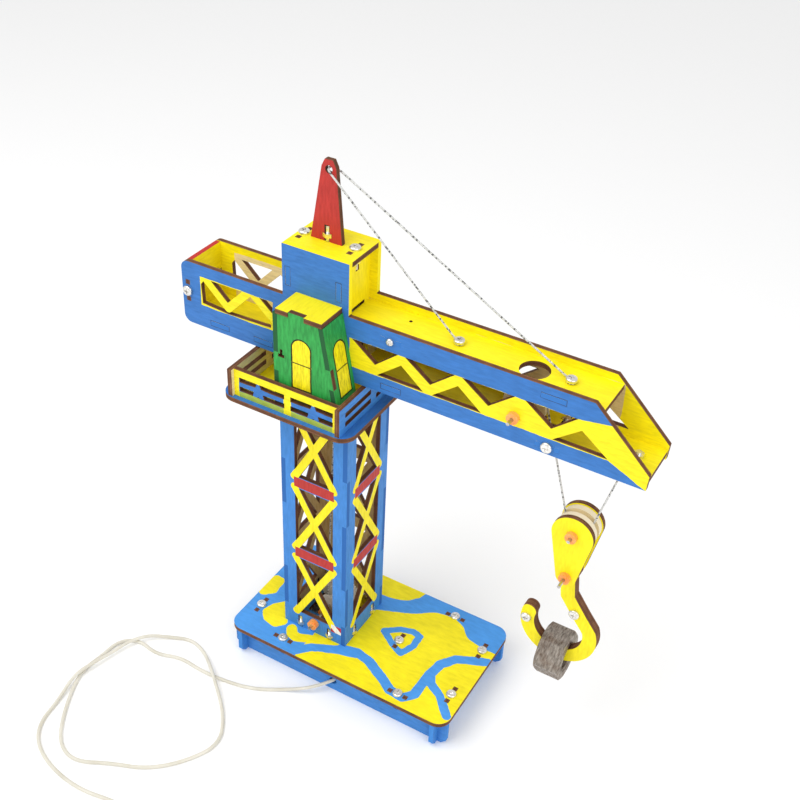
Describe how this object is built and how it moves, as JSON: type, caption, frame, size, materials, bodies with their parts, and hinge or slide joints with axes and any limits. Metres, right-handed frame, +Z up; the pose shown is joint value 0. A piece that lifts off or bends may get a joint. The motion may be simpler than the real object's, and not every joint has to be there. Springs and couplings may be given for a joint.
{
  "type": "toy tower crane",
  "caption": "Painted plywood toy tower crane with a slewing jib, a powered winch in the mast foot, a rope-hung block and hook, and a steel nut as its load.",
  "frame": {"origin": "on the slewing axis at floor level, on the bottom face of the motor rib", "axes": "+Z up along the slewing axis, +X along the jib towards its tip, the cab is on the -Y side"},
  "size_m": [0.3108, 0.2552, 0.3445],
  "materials": {
    "deck_paint": "hand-painted blue and yellow on plywood",
    "blue_paint": "hand-painted blue on plywood",
    "yellow_paint": "hand-painted yellow on plywood",
    "red_paint": "hand-painted red on plywood",
    "green_paint": "hand-painted green on plywood",
    "bare_ply": "bare plywood, laser-browned edges",
    "fastener_steel": "zinc-plated steel",
    "axle_steel": "bright steel rod",
    "orange_collar": "translucent orange soft plastic",
    "winch_plastic": "white moulded plastic",
    "motor_can": "plated motor can and gearbox",
    "rope": "white braided cord with dark flecks",
    "cable_jacket": "soft off-white jacket",
    "plug_body": "moulded off-white plug",
    "load_steel": "dark oxidised steel"
  },
  "bodies": {
    "base": {"base_deck": "deck_paint", "base_front_panel": "blue_paint", "base_back_panel": "blue_paint", "base_left_panel": "blue_paint", "base_right_panel": "blue_paint", "base_cross_rib": "bare_ply", "motor_rib": "bare_ply", "base_fasteners": "fastener_steel", "mast_front_panel": "blue_paint", "mast_back_panel": "blue_paint", "mast_left_panel": "blue_paint", "mast_right_panel": "blue_paint", "mast_top_plate": "bare_ply", "pivot_bolt": "fastener_steel", "pivot_nut_and_washer": "fastener_steel", "gear_motor": "motor_can", "hoist_rope_mast": "rope", "power_cable": "cable_jacket", "power_cable_coil": "cable_jacket", "power_plug": "plug_body"},
    "pinion": {"motor_pinion": "winch_plastic"},
    "winch": {"winch_axle": "axle_steel", "winch_drum": "winch_plastic", "winch_gear": "winch_plastic", "winch_collars": "orange_collar"},
    "head": {"slew_platform": "blue_paint", "railing_front": "blue_paint", "railing_back": "blue_paint", "railing_sides": "blue_paint", "cabin_front": "green_paint", "cabin_left": "green_paint", "cabin_right": "green_paint", "cabin_roof": "yellow_paint", "jib_front_panel": "blue_paint", "jib_back_panel": "blue_paint", "jib_top_plate": "yellow_paint", "jib_bottom_plate": "bare_ply", "counterjib_bottom_plate": "yellow_paint", "counterjib_end_plate": "blue_paint", "house_left_wall": "yellow_paint", "house_right_wall": "yellow_paint", "house_roof": "yellow_paint", "peak": "red_paint", "head_fasteners": "fastener_steel", "stay_rope": "rope", "head_axles": "axle_steel", "head_collars": "orange_collar", "hoist_rope_jib": "rope", "hoist_rope_falls": "rope"},
    "head_sheave": {"head_sheave": "bare_ply"},
    "jib_pulley": {"jib_pulley": "bare_ply"},
    "block": {"block_cheeks": "yellow_paint", "block_axles": "axle_steel", "block_collars": "orange_collar", "block_rope_loop": "rope"},
    "block_pulley": {"block_pulley": "bare_ply"},
    "hook": {"hook_layers": "yellow_paint", "hook_fasteners": "fastener_steel"},
    "load": {"load_nut": "load_steel"}
  },
  "joints": [
    {"name": "slew", "type": "hinge", "parent": "base", "child": "head", "pos_m": [0, 0, 0.2045], "axis": [0, 0, 1], "range_deg": [-180, 180]},
    {"name": "winch_turn", "type": "hinge", "parent": "base", "child": "winch", "pos_m": [0, 0, 0.0323], "axis": [0, 1, 0], "range_deg": [-900.8, 1666.1]},
    {"name": "pinion_turn", "type": "hinge", "parent": "base", "child": "pinion", "pos_m": [0, 0, 0.01505], "axis": [0, 1, 0], "range_deg": [-5977.1, 3222.1]},
    {"name": "head_sheave_turn", "type": "hinge", "parent": "head", "child": "head_sheave", "pos_m": [0.0065, 0, 0.25], "axis": [0, 1, 0], "range_deg": [-481.9, 888.1]},
    {"name": "jib_pulley_turn", "type": "hinge", "parent": "head", "child": "jib_pulley", "pos_m": [0.117, 0, 0.2416], "axis": [0, 1, 0], "range_deg": [-288, 528]},
    {"name": "hoist", "type": "slide", "parent": "head", "child": "block", "axis": [0, 0, 1], "range_m": [-0.052, 0.028], "deforming": ["hoist_rope_falls"]},
    {"name": "block_pulley_turn", "type": "hinge", "parent": "block", "child": "block_pulley", "pos_m": [0.155, 0, 0.173], "axis": [0, 1, 0], "range_deg": [-476.9, 260.5]},
    {"name": "hook_swing", "type": "hinge", "parent": "block", "child": "hook", "pos_m": [0.155, 0, 0.143], "axis": [0, 1, 0], "range_deg": [-60, 60]},
    {"name": "load_swing", "type": "hinge", "parent": "hook", "child": "load", "pos_m": [0.154, 0, 0.0965], "axis": [0, 1, 0], "range_deg": [-20, 20]}
  ],
  "couplings": [
    {"joint": "winch_turn", "follows": "hoist", "rad_per_m": -556.52},
    {"joint": "pinion_turn", "follows": "hoist", "rad_per_m": 2003.5},
    {"joint": "head_sheave_turn", "follows": "hoist", "rad_per_m": -295.38},
    {"joint": "jib_pulley_turn", "follows": "hoist", "rad_per_m": -174.54},
    {"joint": "block_pulley_turn", "follows": "hoist", "rad_per_m": 157.38}
  ]
}
